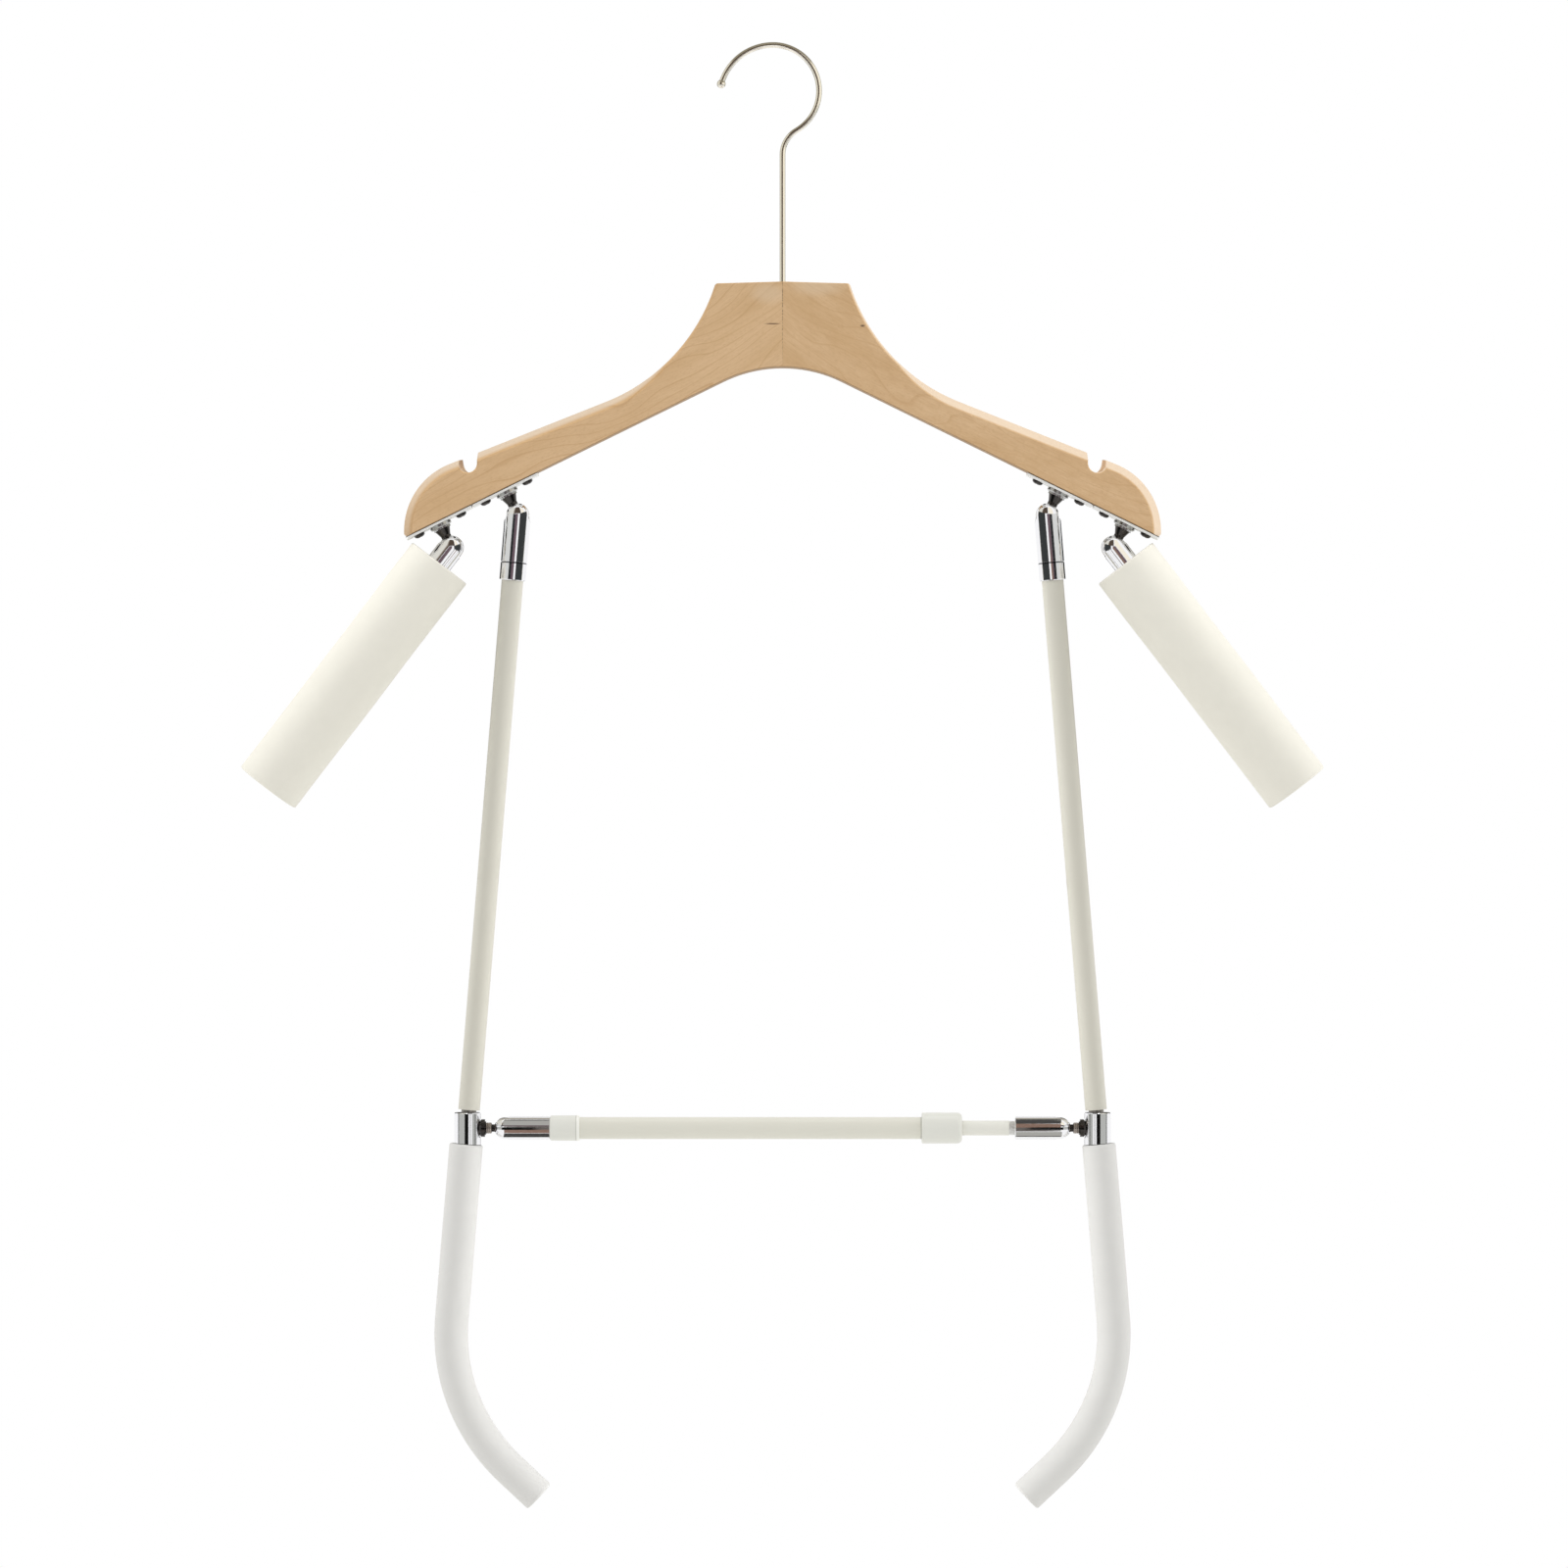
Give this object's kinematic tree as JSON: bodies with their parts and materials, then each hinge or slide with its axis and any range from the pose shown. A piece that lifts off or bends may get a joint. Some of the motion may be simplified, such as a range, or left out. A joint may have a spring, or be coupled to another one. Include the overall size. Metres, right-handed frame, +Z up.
{
  "type": "articulated torso hanger",
  "caption": "Hanging garment display torso: wooden shoulder bar on a swivel hook, posable foam arms, side rods on ball joints, telescopic waist bar and turning bent foam hips.",
  "frame": {"origin": "rail seat: the inside of the hook on the swivel axis", "axes": "+Z up along the hook's shank, +X to the viewer's right along the shoulder bar, +Y away from the viewer"},
  "size_m": [0.5738, 0.0362, 0.7783],
  "materials": {
    "nickel_wire": "bright nickel plated wire",
    "beech": "clear satin lacquer",
    "chrome": "mirror chrome plating",
    "cream_coat": "cream powder coat, satin",
    "bar_coat": "off-white coat, satin",
    "bar_plastic": "off-white moulded plastic",
    "nylon": "natural nylon",
    "steel": "plain steel",
    "brass": "turned brass",
    "arm_foam": "closed-cell foam, matt cream",
    "hip_foam": "closed-cell foam, matt white"
  },
  "bodies": {
    "hook": {"hook": "nickel_wire", "hook_nut": "steel"},
    "hanger": {"left_shoulder": "beech", "right_shoulder": "beech", "mitre_dowel": "beech", "hook_bush": "brass", "left_outer_plate": "chrome", "left_inner_plate": "chrome", "right_inner_plate": "chrome", "right_outer_plate": "chrome", "plate_screws": "chrome", "left_arm_stud": "chrome", "left_rod_stud": "chrome", "right_rod_stud": "chrome", "right_arm_stud": "chrome"},
    "left_arm_pivot": {"left_arm_liner": "nylon"},
    "left_arm": {"left_arm_socket": "chrome", "left_arm_pad": "nylon", "left_arm_core": "steel", "left_arm_foam": "arm_foam"},
    "left_rod_pivot": {"left_rod_liner": "nylon"},
    "left_side": {"left_rod_socket": "chrome", "left_rod_pad": "nylon", "left_rod_ferrule": "chrome", "left_rod_tube": "cream_coat", "left_collar": "chrome", "left_bar_stud": "chrome"},
    "left_hip": {"left_hip_rod": "steel", "left_hip_foam": "hip_foam"},
    "right_arm_pivot": {"right_arm_liner": "nylon"},
    "right_arm": {"right_arm_socket": "chrome", "right_arm_pad": "nylon", "right_arm_core": "steel", "right_arm_foam": "arm_foam"},
    "right_rod_pivot": {"right_rod_liner": "nylon"},
    "right_side": {"right_rod_socket": "chrome", "right_rod_pad": "nylon", "right_rod_ferrule": "chrome", "right_rod_tube": "cream_coat", "right_collar": "chrome", "right_bar_stud": "chrome"},
    "right_hip": {"right_hip_rod": "steel", "right_hip_foam": "hip_foam"},
    "bar_outer": {"bar_left_socket": "chrome", "bar_left_joiner": "nylon", "bar_end_cap": "bar_plastic", "bar_outer_tube": "bar_coat", "bar_collet": "nylon"},
    "lock_knob": {"lock_knob": "bar_plastic"},
    "bar_inner": {"bar_inner_tube": "bar_coat", "bar_guide": "nylon", "bar_right_joiner": "steel", "bar_right_socket": "chrome"}
  },
  "joints": [
    {"name": "hook_swivel", "type": "hinge", "parent": "hook", "child": "hanger", "pos_m": [0, 0, -0.124], "axis": [0, 0, 1], "continuous": true},
    {"name": "left_arm_swivel", "type": "hinge", "parent": "hanger", "child": "left_arm_pivot", "pos_m": [-0.17559, 0, -0.26456], "axis": [-0.4415, 0, 0.8973], "range_deg": [-69, 69]},
    {"name": "left_arm_tilt", "type": "hinge", "parent": "left_arm_pivot", "child": "left_arm", "pos_m": [-0.17559, 0, -0.26456], "axis": [0, 1, 0], "range_deg": [-31.6, 2.4]},
    {"name": "left_rod_swing", "type": "hinge", "parent": "hanger", "child": "left_rod_pivot", "pos_m": [-0.14041, 0, -0.24725], "axis": [-1, 0, 0], "range_deg": [-8, 8]},
    {"name": "left_rod_splay", "type": "hinge", "parent": "left_rod_pivot", "child": "left_side", "pos_m": [-0.14041, 0, -0.24725], "axis": [0, 1, 0], "range_deg": [-2, 8]},
    {"name": "left_hip_turn", "type": "hinge", "parent": "left_side", "child": "left_hip", "pos_m": [-0.16717, 0, -0.57266], "axis": [-0.0819, 0, -0.9966], "range_deg": [-90, 90]},
    {"name": "right_arm_swivel", "type": "hinge", "parent": "hanger", "child": "right_arm_pivot", "pos_m": [0.17559, 0, -0.26456], "axis": [-0.4415, 0, -0.8973], "range_deg": [-69, 69]},
    {"name": "right_arm_tilt", "type": "hinge", "parent": "right_arm_pivot", "child": "right_arm", "pos_m": [0.17559, 0, -0.26456], "axis": [0, -1, 0], "range_deg": [-31.6, 2.4]},
    {"name": "right_rod_swing", "type": "hinge", "parent": "hanger", "child": "right_rod_pivot", "pos_m": [0.14041, 0, -0.24725], "axis": [-1, 0, 0], "range_deg": [-8, 8]},
    {"name": "right_rod_splay", "type": "hinge", "parent": "right_rod_pivot", "child": "right_side", "pos_m": [0.14041, 0, -0.24725], "axis": [0, -1, 0], "range_deg": [-2, 8]},
    {"name": "right_hip_turn", "type": "hinge", "parent": "right_side", "child": "right_hip", "pos_m": [0.16717, 0, -0.57266], "axis": [-0.0819, 0, 0.9966], "range_deg": [-90, 90]},
    {"name": "bar_level", "type": "hinge", "parent": "left_side", "child": "bar_outer", "pos_m": [-0.14747, 0, -0.57266], "axis": [0, 1, 0], "range_deg": [-8.5, 2.5]},
    {"name": "bar_extend", "type": "slide", "parent": "bar_outer", "child": "bar_inner", "axis": [1, 0, 0], "range_m": [-0.0237, 0.0919]},
    {"name": "lock_knob_turn", "type": "hinge", "parent": "bar_outer", "child": "lock_knob", "pos_m": [0.07383, 0, -0.57266], "axis": [1, 0, 0], "range_deg": [0, 120]}
  ],
  "couplings": [
    {"joint": "right_rod_swing", "follows": "left_rod_swing", "ratio": 1},
    {"joint": "right_rod_splay", "follows": "left_rod_splay", "ratio": 1},
    {"joint": "bar_level", "follows": "left_rod_splay", "ratio": -1},
    {"joint": "bar_extend", "follows": "left_rod_splay", "m_per_rad": 0.6508}
  ]
}
